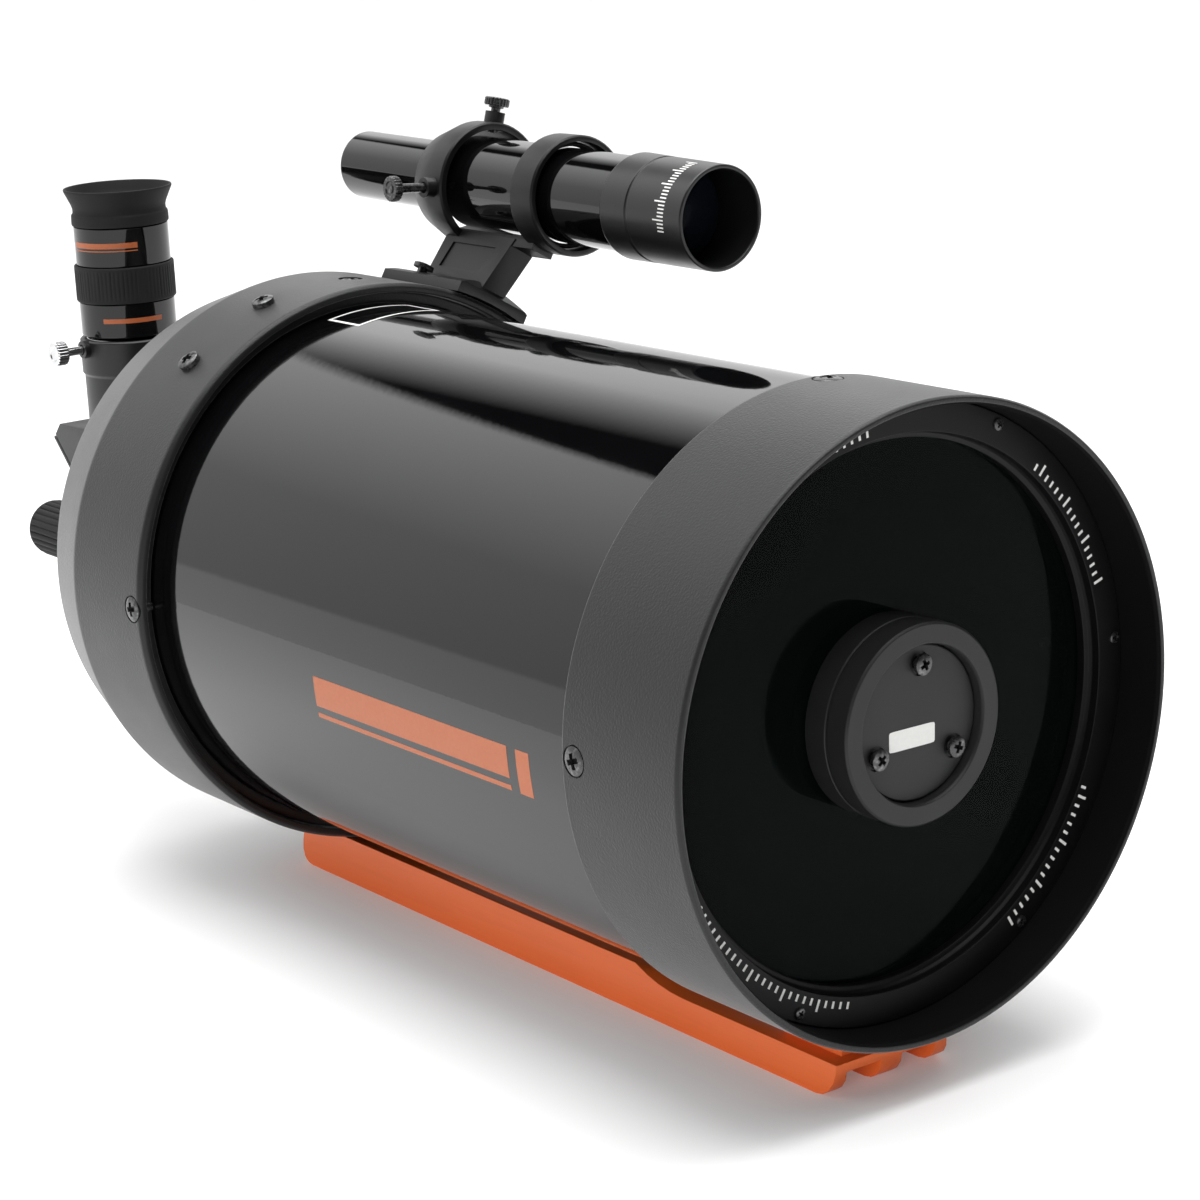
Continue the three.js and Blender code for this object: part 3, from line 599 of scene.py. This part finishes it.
aluminised = mirror_finish()
reach = np.linspace(MIRROR_RADIUS, MIRROR_BORE, 24)
bowl = np.stack([reach, MIRROR_EDGE + (MIRROR_RADIUS**2 - reach**2) / (2 * MIRROR_SPHERE)], -1)
primary = turned("primary_mirror_glass", optical, [*bowl, (MIRROR_BORE, MIRROR_BACK),
    (MIRROR_RADIUS, MIRROR_BACK)], count=192, ease=0.1)
fit(primary, aluminised, "primary", "mirror_coating", "primary_mirror")
baffle_tube = turned("central_baffle", optical, [(18.2, 120), (20, 120), (20, 336.9), (30, 336.9),
    (30, 340.7), (20, 340.7), (20, 357), (18.2, 357)], count=96)
fit(baffle_tube, flat_black, "tube_assembly", "matt_black", "baffle_tube")


def dress(node, finish):
    """Gives a CAD node that stays in view its finish."""
    materials = frame["nodes"][node].data.materials
    materials.clear()
    materials.append(finish)


rubber_seal = satin_black("seal rubber", (0.004, 0.004, 0.004), (0.008, 0.008, 0.008), 0.75, 0.2)
for node in ("mirror_carrier", "mirror_lock_ring", "secondary_cell"):
    dress(node, flat_black)
dress("corrector_gasket", rubber_seal)
dress("secondary_mirror", aluminised)
dress("diagonal_mirror", aluminised)
dress("focus_screw", steel)

# ---------------------------------------------------------------------------------------------
# Focus knob: a moulded rubber cover with grip ribs on an aluminium core, on the screw that moves the
# primary mirror. The bearing stands in the rear cell.
# ---------------------------------------------------------------------------------------------


def moulded_rubber():
    finish = Finish("moulded rubber")
    grain = finish.noise(2400, 3.0)
    bloom = finish.noise(120, 4.0)
    return finish.surface(Base_Color=finish.blend(bloom, (0.008, 0.008, 0.0083), (0.018, 0.018, 0.0185)),
        Specular_IOR_Level=0.22, Roughness=0.62 + 0.16 * bloom, Normal=finish.bump(grain, 0.3, 0.00008))


def ribs(number, depth, low, high, radius):
    """Grooves all round, depth * (1 - |sin(n a / 2)|^0.6) deep at angle a, in what lies outside a radius
    and between two heights."""
    def relief(angle, reach, height):
        ends = np.clip((height - low) / 0.6, 0, 1) * np.clip((high - height) / 0.6, 0, 1)
        wall = (reach > radius) * ends
        return -depth * wall * (1 - np.abs(np.sin(number * angle / 2)) ** 0.6)
    return relief


rubber = moulded_rubber()
knob_spot = centre("focus_knob")
knob_axis = Axis((knob_spot.x, front_rim, knob_spot.z), (0, 1, 0))
side_rows = [(9.8, h) for h in np.linspace(355, 379, 9)]
knob = turned("focus_knob_cover", knob_axis, [(3.3, 353.5), (9.0, 353.5), (9.4, 354.3), *side_rows,
    (9.4, 380.8), (8.6, 381.6), (6.4, 381.6), (6.0, 381.0), (0, 381.0), (0, 376.1), (3.3, 376.1)],
    count=384, ease=0.3, relief=ribs(26, 0.75, 354.4, 379.6, 9.5))
fit(knob, rubber, "focuser", "rubber", "focus_knob")
bearing = turned("focus_bearing_flange", knob_axis, [(3.4, 334), (5.9, 334), (5.9, 345.3), (11.5, 345.3),
    (11.5, 348.3), (7.5, 349.3), (7.5, 352.6), (3.4, 352.6)], count=96)
fit(bearing, steel, "tube_assembly", "black_steel", "focus_bearing")

# ---------------------------------------------------------------------------------------------
# Visual back on the rear thread: a knurled slip ring, an anodised tube, and a chrome thumbscrew that
# grips the star diagonal.
# ---------------------------------------------------------------------------------------------


def joint(name):
    return next(j for j in frame["joints"] if j["name"] == name)


def chrome_plate():
    finish = Finish("chrome plate")
    swirl = finish.noise(260, 5.0)
    return finish.surface(Base_Color=finish.blend(swirl, (0.60, 0.60, 0.61), (0.74, 0.74, 0.75)),
        Metallic=1.0, Roughness=0.10 + 0.12 * swirl)


chrome = chrome_plate()
knurl_rows = [(29.5, h) for h in np.linspace(351, 363.4, 6)]
slip_ring = turned("slip_ring_knurled", optical, [(26.1, 349.3), (28.9, 349.3), (29.5, 350), *knurl_rows,
    (29.5, 364.3), (28.9, 365), (22.5, 365), (22.5, 361.5), (26.1, 361.5)], count=480, ease=0.25,
    relief=ribs(96, 0.45, 351, 363.4, 28.8))
fit(slip_ring, anodised, "rear_slip_ring", "satin_black_anodised", "slip_ring")
back = turned("visual_back_tube", optical, [(16.22, 358.4), (25.1, 358.4), (25.1, 361.2), (22.2, 361.2),
    (22.2, 366), (21, 367), (21, 384), (20.6, 384.4), (20.6, 385.2), (21, 385.6), (21, 398.7), (20.2, 399.5),
    (16.22, 399.5)], count=128, ease=0.25)


def thumbscrew(axis, tip, head, radius, shaft=1.6, knurls=20):
    """A screw with a knurled head between two heights, a collar under it and a dished face."""
    low, high = head
    outline = [(0, tip), (shaft, tip), (shaft, low - 0.8), (0.6 * radius, low - 0.6), (0.6 * radius, low),
        (radius - 0.4, low), (radius, low + 0.4), (radius, high - 0.4), (radius - 0.4, high),
        (0.62 * radius, high), (0.52 * radius, high - 0.4), (0, high - 0.4)]
    return turned_shell(axis, outline, ease=0.15, count=240,
        relief=ribs(knurls, 0.35, low - 0.2, high + 0.2, radius - 0.6))


lock = joint("visual_back_lock_turn")
lock_axis = Axis((tube_middle.x, lock["pos_m"][1], tube_middle.z), lock["axis"], side=(0, 1, 0))
screw_hole = turned("screw hole", lock_axis, [(0, 10), (1.9, 10), (1.9, 30), (0, 30)], count=32, ease=0.05)
shaped(back, "DIFFERENCE", screw_hole)
fit(back, anodised, "tube_assembly", "satin_black_anodised", "visual_back")
back_lock = solid("visual_back_thumbscrew", thumbscrew(lock_axis, 16.3, (24.5, 29), 4.4))
fit(back_lock, chrome, "visual_back_lock", "chrome", "visual_back_screw")

# ---------------------------------------------------------------------------------------------
# Star diagonal: a moulded body with a sloping back cover, a chrome nosepiece in front and a socket
# for the eyepiece on top. The body and the cover keep their solids, with the edges rounded.
# ---------------------------------------------------------------------------------------------


def rounded_copy(node, name, radius):
    """A copy of a solid with its loose triangles merged and its edges rounded."""
    copy = bpy.data.objects.new(name, frame["nodes"][node].data.copy())
    bpy.context.scene.collection.objects.link(copy)
    mesh = bmesh.new()
    mesh.from_mesh(copy.data)
    bmesh.ops.remove_doubles(mesh, verts=mesh.verts, dist=2e-6)
    bmesh.ops.dissolve_limit(mesh, angle_limit=math.radians(1), verts=mesh.verts, edges=mesh.edges)
    mesh.to_mesh(copy.data)
    mesh.free()
    copy.data.shade_smooth()
    round_off = copy.modifiers.new("rounded edges", "BEVEL")
    round_off.width = radius * MM
    round_off.segments = 3
    round_off.limit_method = "ANGLE"
    round_off.angle_limit = math.radians(30)
    round_off.harden_normals = True
    return copy


moulding = satin_black("textured moulding", (0.006, 0.006, 0.0063), (0.014, 0.014, 0.0145), 0.45)
for node, name in (("diagonal_body", "diagonal_housing"), ("diagonal_cover", "diagonal_back_cover")):
    fit(rounded_copy(node, name, 0.8), moulding, "star_diagonal", "black_plastic", node)

swivel = joint("diagonal_turn")["pos_m"]
eye_line = Axis(swivel, joint("eyepiece_slide")["axis"])
nose = turned("nosepiece_tube", optical, [(13.6, 372), (15.87, 372), (15.87, 380), (15.5, 380.4), (15.5, 384),
    (15.87, 384.4), (15.87, 401), (17.2, 401.2), (17.2, 405.3), (13.6, 405.3)], count=128, ease=0.2)
fit(nose, chrome, "star_diagonal", "chrome", "diagonal_nosepiece")
socket = turned("eyepiece_socket", eye_line, [(14.2, 25.8), (17.6, 25.8), (17.6, 46), (18.3, 47), (18.3, 59),
    (17.7, 59.6), (16.2, 59.6), (16.2, 34), (14.2, 34)], count=128, ease=0.25)
clamp = joint("diagonal_lock_turn")
clamp_axis = Axis(clamp["pos_m"], clamp["axis"], side=(0, 1, 0))
boss = turned("boss", clamp_axis, [(0, 17.2), (3.2, 17.2), (3.2, 20.3), (0, 20.3)], count=64)
clamp_hole = turned("clamp hole", clamp_axis, [(0, 10), (1.95, 10), (1.95, 25), (0, 25)], count=32,
    ease=0.05)
shaped(socket, "UNION", boss)
shaped(socket, "DIFFERENCE", clamp_hole)
fit(socket, anodised, "star_diagonal", "satin_black_anodised", "diagonal_socket")
clamp_screw = solid("diagonal_clamp_screw", thumbscrew(clamp_axis, 16.3, (27.3, 31.8), 4.4))
fit(clamp_screw, chrome, "diagonal_lock", "chrome", "diagonal_thumbscrew")

# ---------------------------------------------------------------------------------------------
# Eyepiece: a chrome barrel, a glossy body with plain orange bands, a ribbed rubber grip and a
# flared rubber eyecup round the eye lens.
# ---------------------------------------------------------------------------------------------
barrel = turned("eyepiece_chrome_barrel", eye_line, [(13, 34.3), (15.87, 34.3), (15.87, 42), (15.5, 42.4),
    (15.5, 46), (15.87, 46.4), (15.87, 59.6), (14.5, 60.4), (14.5, 66), (13, 66)], count=128, ease=0.2)
fit(barrel, chrome, "eyepiece", "chrome", "eyepiece_barrel")
body = turned("eyepiece_barrel_shell", eye_line, [(14.8, 60.6), (16.9, 60.6), (17.3, 61), (17.3, 72.9),
    (16.6, 72.9), (16.6, 86.6), (17.1, 86.6), (17.1, 100.4), (15.8, 100.4), (15.8, 105.5), (11.6, 105.5),
    (11.6, 66.3), (14.8, 66.3)], count=160, ease=0.25)
lacquer = enamel("lacquer")
fit(body, lacquer, "eyepiece", "gloss_black_paint", "eyepiece_body")
bands = [film(eye_line, 17.1, heights, (100, 192), 40) for heights in ((92.2, 92.6), (93.3, 95.3))]
bands.append(film(eye_line, 17.3, (66.2, 67.9), (75, 150), 40))
fit(solid("eyepiece_bands", *bands), orange_ink, "eyepiece", "orange_anodised")
grip_rows = [(18.1, h) for h in np.linspace(74.2, 85.2, 7)]
grip = turned("eyepiece_rubber_grip", eye_line, [(16.9, 73.2), (17.8, 73.2), (18.1, 73.6), *grip_rows,
    (18.1, 85.9), (17.8, 86.3), (16.9, 86.3)], count=480, ease=0.2, relief=ribs(72, 0.22, 74.2, 85.4, 17.9))
fit(grip, rubber, "eyepiece", "rubber", "eyepiece_grip")
cup = turned("eyecup_rubber", eye_line, [(16.1, 100.7), (17.5, 100.7), (17.6, 101.4), (17.5, 104.4),
    (16.9, 105.1), (16.8, 106.6), (17.2, 108), (18.1, 110), (19.2, 112.4), (19.6, 113.3), (19.5, 113.9),
    (18.9, 113.9), (17, 110.2), (15, 107.4), (13, 106.8), (13, 105.8), (16.1, 105.8)], count=160, ease=0.6)
fit(cup, rubber, "eyepiece", "rubber", "eyecup")
# Painted shade: the lenses' dark, partly opaque tint stands for the dark inside of the eyepiece and finder
# seen through them.
lens_glass_painted_dark = glass_with_painted_dark("lens glass painted dark", 0.9, (0.010, 0.013, 0.020))


def dome(radius, middle, rise, rows):
    """The curve height = middle + rise * (r / radius)^2, from the axis out to the radius."""
    reach = np.linspace(0, radius, rows)
    return np.stack([reach, middle + rise * (reach / radius) ** 2], -1)


lens_rows = [*dome(11.3, 99.8, 0.8, 12), *dome(11.3, 104.6, -1.0, 12)[::-1]]
lens = turned("eye_lens_glass", eye_line, lens_rows, count=96, ease=0.05)
fit(lens, lens_glass_painted_dark, "eyepiece", "optical_glass", "eye_lens")

# ---------------------------------------------------------------------------------------------
# Dovetail bar: an extruded aluminium bar, milled to fit under the cells and anodised orange. Four
# screws in its two channels hold it to the cells.
# ---------------------------------------------------------------------------------------------


def orange_anodising():
    finish = Finish("orange anodising")
    lines = finish.noise(900, 3.0, stretch=(1, 0.03, 1))
    clouds = finish.noise(30, 3.0)
    colour = finish.blend(0.5 * lines + 0.5 * clouds, (0.74, 0.125, 0.020), (0.88, 0.165, 0.028))
    return finish.surface(Base_Color=colour, Metallic=0.12, Roughness=0.36 + 0.12 * clouds,
        Normal=finish.bump(lines, 0.06, 0.00005))


bar = rounded_copy("dovetail_bar", "dovetail_extrusion", 0.45)
fit(bar, orange_anodising(), "tube_assembly", "orange_anodised", "dovetail_bar")
for i in (1, 2, 3, 4):
    node = f"dovetail_screw_{i}"
    head = cross_head(end_of(node, (0, 0, -1)), 4.2, 1.2, 14.9, turn=0.5 * i, shaft=2.0)
    fit(solid(node + "_head", head, smooth=40), steel, "tube_assembly", "black_steel", node)

# ---------------------------------------------------------------------------------------------
# Finder bracket: one casting with a foot, a stem and two rings, in satin black paint. A rubber ring
# holds the finder in front, and two thumbscrews and a spring plunger aim it at the rear.
# ---------------------------------------------------------------------------------------------
bracket_paint = satin_black("bracket paint", (0.002, 0.002, 0.0021), (0.006, 0.006, 0.0063), 0.38, 0.38)
bracket = rounded_copy("finder_bracket", "finder_bracket_casting", 0.35)
fit(bracket, bracket_paint, "tube_assembly", "satin_black_anodised", "finder_bracket")
bracket_up = joint("finder_pan")["axis"]
for i in (1, 2):
    node = f"finder_foot_screw_{i}"
    head = cross_head(end_of(node, bracket_up), 3.5, 1.1, 11.2, turn=0.8 * i)
    fit(solid(node + "_head", head, smooth=40), steel, "tube_assembly", "black_steel", node)

pivot = joint("finder_pan")["pos_m"]
ring_line = Axis(pivot, (0, 1, 0))
O_RING_RADIUS = 16.75
O_RING_HALF_WIDTH = 0.85
O_RING_HALF_LENGTH = 2.2
around = np.arange(16) * math.pi / 8
oval = np.stack([O_RING_RADIUS + O_RING_HALF_WIDTH * np.cos(around), O_RING_HALF_LENGTH * np.sin(around)], -1)
o_ring = turned("finder_rubber_ring", ring_line, oval, count=96, ease=0.2)
fit(o_ring, rubber, "finder_gimbal", "rubber", "finder_o_ring")
ADJUSTER_TIP = 17.9
for i, (low, high) in ((1, (27, 29.8)), (2, (35.6, 38.6))):
    turn = joint(f"finder_adjust_turn_{i}")
    screw_line = Axis(turn["pos_m"], turn["axis"], side=(0, 1, 0))
    screw = thumbscrew(screw_line, ADJUSTER_TIP, (low, high), 4.3)
    button_outline = [(0, high - 0.5), (1.5, high - 0.5), (1.5, high - 0.1), (0, high - 0.1)]
    button = turned_shell(screw_line, button_outline, ease=0.1, count=48)
    adjuster = solid(f"finder_thumbscrew_{i}", screw, button)
    fit(adjuster, steel, f"finder_adjuster_{i}", "black_steel", f"finder_adjust_screw_{i}")
spring = joint("finder_plunger_slide")["axis"]
rear_ring = joint("finder_adjust_turn_1")["pos_m"][1]
plunger_line = Axis((pivot[0], rear_ring, pivot[2]), spring, side=(0, 1, 0))
plunger = turned("finder_plunger_pin", plunger_line, [(0, 17.9), (1.2, 17.9), (1.6, 18.5), (1.6, 19.4),
    (2.3, 19.4), (2.3, 25.2), (1.2, 25.2), (1.0, 24.6), (0, 24.6)], count=64, ease=0.15)
fit(plunger, steel, "finder_plunger", "black_steel", "finder_spring_plunger")

# ---------------------------------------------------------------------------------------------
# Finder: a small glossy refractor. Its objective cell screws in and out to focus, and the eye tube
# stands out behind the rear ring. Heights are counted from the rubber ring.
# ---------------------------------------------------------------------------------------------
aim = joint("finder_focus_turn")
finder_line = Axis(aim["pos_m"], aim["axis"])
finder_tube = turned("finder_tube_shell", finder_line, [(14.2, -51.4), (15.6, -51.4), (15.6, 51), (12.2, 61),
    (12.2, 66), (10.8, 66), (10.8, 60.4), (14.2, 50)], count=160, ease=0.3)
fit(finder_tube, lacquer, "finder", "gloss_black_paint", "finder_tube")
cell_satin = satin_black("finder cell satin", (0.004, 0.004, 0.0042), (0.009, 0.009, 0.0095), 0.30)
objective_cell = turned("finder_objective_shell", finder_line, [(15.5, -78.4), (16.4, -78.4), (16.7, -78.0),
    (16.95, -52.4), (16.6, -52.1), (16.6, -51.3), (17, -51.0), (17.15, -42.6), (17.2, -39.2), (16.9, -38.5),
    (15.9, -38.5), (15.9, -51.7), (13.6, -51.7), (13.6, -54.4), (15.2, -54.4), (15.2, -77.8)], count=192,
    ease=0.25)
fit(objective_cell, cell_satin, "finder_front", "satin_black_anodised", "finder_objective_cell")
FOCUS_TICK_RADIUS = 16.78
FOCUS_TICK_FRONT = -70.4
cell_ticks = []
for n, angle in enumerate(np.arange(100, 196, 4.0)):
    end = FOCUS_TICK_FRONT + (5.2 if n % 5 == 0 else 3.0)
    width = angle - 0.8, angle + 0.8
    cell_ticks.append(film(finder_line, FOCUS_TICK_RADIUS, (FOCUS_TICK_FRONT, end), width, 4))
fit(solid("finder_focus_ticks", *cell_ticks), white_ink, "finder_front", "satin_black_anodised")
objective_rows = [*dome(14.9, -62.4, 2.8, 12), (14.9, -55.8), (0, -54.9)]
objective = turned("finder_objective_glass", finder_line, objective_rows, count=96, ease=0.05)
fit(objective, lens_glass_painted_dark, "finder_front", "optical_glass", "finder_objective_lens")
eye_tube = turned("finder_eye_barrel", finder_line, [(8.6, 59.5), (10.5, 59.5), (10.5, 66.3), (11.9, 66.3),
    (11.9, 119.2), (11.1, 120), (8.2, 120), (8.2, 115.5), (8.6, 115.5)], count=128, ease=0.35)
fit(eye_tube, lacquer, "finder", "gloss_black_paint", "finder_eye_tube")
finder_lens_rows = [*dome(8.3, 109.5, 1.0, 10), *dome(8.3, 114.5, -1.0, 10)[::-1]]
finder_lens = turned("finder_eye_glass", finder_line, finder_lens_rows, count=64, ease=0.05)
fit(finder_lens, lens_glass_painted_dark, "finder", "optical_glass", "finder_eye_lens")

# ---------------------------------------------------------------------------------------------
# Floor: a plain pale table top. It ends a little way to the left of the telescope, so that its
# edge shows in the tube's side as a level line.
# ---------------------------------------------------------------------------------------------


def plain_white():
    finish = Finish("table top")
    colour = finish.blend(finish.noise(6), (0.86, 0.86, 0.86), (0.88, 0.88, 0.88))
    return finish.surface(Base_Color=colour, Roughness=0.9, Specular_IOR_Level=0.1,
        Emission_Color=(1.0, 1.0, 1.0, 1.0), Emission_Strength=0.12)


FLOOR_LEFT = -0.37
FLOOR_RIGHT = 6.0
FLOOR_FRONT = -3.0
FLOOR_BACK = 6.0
floor_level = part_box("dovetail_bar")[0].z
corners = [(FLOOR_LEFT, FLOOR_FRONT), (FLOOR_RIGHT, FLOOR_FRONT), (FLOOR_RIGHT, FLOOR_BACK),
    (FLOOR_LEFT, FLOOR_BACK)]
floor_mesh = bpy.data.meshes.new("floor")
floor_mesh.from_pydata([(x, y, floor_level) for x, y in corners], [], [(0, 1, 2, 3)])
floor = bpy.data.objects.new("floor", floor_mesh)
bpy.context.scene.collection.objects.link(floor)
floor_mesh.materials.append(plain_white())

# ---------------------------------------------------------------------------------------------
# Light: a bright paper wall on the left and behind, which ends below a dark ceiling, and a soft
# lamp above. Camera: level with the finder, off the left front corner.
# ---------------------------------------------------------------------------------------------
world = bpy.data.worlds.new("studio")
bpy.context.scene.world = world
studio = Finish("studio", world)
direction = studio.node("ShaderNodeTexCoord", None, out=0)
east, north, up = studio.parts(direction)
left_wall = 0.94 + 0.20 * studio.ramp(up, 0.0, 0.36) + 0.72 * studio.ramp(up, 0.36, 0.61)
left_wall *= studio.ramp(0.612 - up - 0.557 * east, -0.012, 0.012)
right_wall = (0.60 + 1.25 * studio.ramp(up, 0.0, 0.45)) * studio.ramp(east, 0.13, 0.40)
right_wall *= studio.ramp(0.70 - up, 0.0, 0.05) * studio.ramp(north, -0.2, 0.2)
ceiling = 1.6 * studio.ramp(up, 0.72, 0.80)
below = 1.35 * studio.ramp(0.0 - up, -0.01, 0.04)
walls = studio.greater(left_wall * studio.ramp(north, 0.0, 0.4), right_wall)
brightness = studio.greater(studio.greater(walls, ceiling), below)
background = studio.node("ShaderNodeBackground", None, (1.0, 1.0, 1.0, 1.0), brightness)
studio.node("ShaderNodeOutputWorld", None, background)


def soft_lamp(name, width, depth, watts, place):
    data = bpy.data.lights.new(name, "AREA")
    data.shape = "RECTANGLE"
    data.size = width
    data.size_y = depth
    data.energy = watts
    lamp = bpy.data.objects.new(name, data)
    lamp.location = place
    bpy.context.scene.collection.objects.link(lamp)
    return lamp


soft_lamp("overhead lamp", 1.6, 1.6, 32, (0.02, 0.10, 1.7))
side_lamp = soft_lamp("side lamp", 0.9, 0.5, 9, (-1.25, -0.75, 0.30))
side_lamp.rotation_euler = Vector((1.25, 0.75, -0.25)).to_track_quat("-Z", "Y").to_euler()
side_lamp.visible_glossy = False

CAMERA_PLACE = Vector((-0.53297, -0.70710, 0.33327))
CAMERA_BACK = Vector((-0.58826, -0.77164, 0.24192)).normalized()
CAMERA_ROLL = math.radians(-1.56)
right = Vector((-CAMERA_BACK.y, CAMERA_BACK.x, 0)).normalized()
above = CAMERA_BACK.cross(right)
rolled_right = math.cos(CAMERA_ROLL) * right + math.sin(CAMERA_ROLL) * above
rolled_up = CAMERA_BACK.cross(rolled_right)
camera_data = bpy.data.cameras.new("camera")
camera_data.sensor_width = 36
camera_data.lens = 90.35
camera_data.clip_end = 50
camera = bpy.data.objects.new("camera", camera_data)
turn_and_place = camera.matrix_world.copy()
for column, vector in enumerate((rolled_right, rolled_up, CAMERA_BACK, CAMERA_PLACE)):
    for row in range(3):
        turn_and_place[row][column] = vector[row]
camera.matrix_world = turn_and_place
bpy.context.scene.collection.objects.link(camera)
bpy.context.scene.camera = camera
bpy.context.scene.view_settings.view_transform = "Standard"
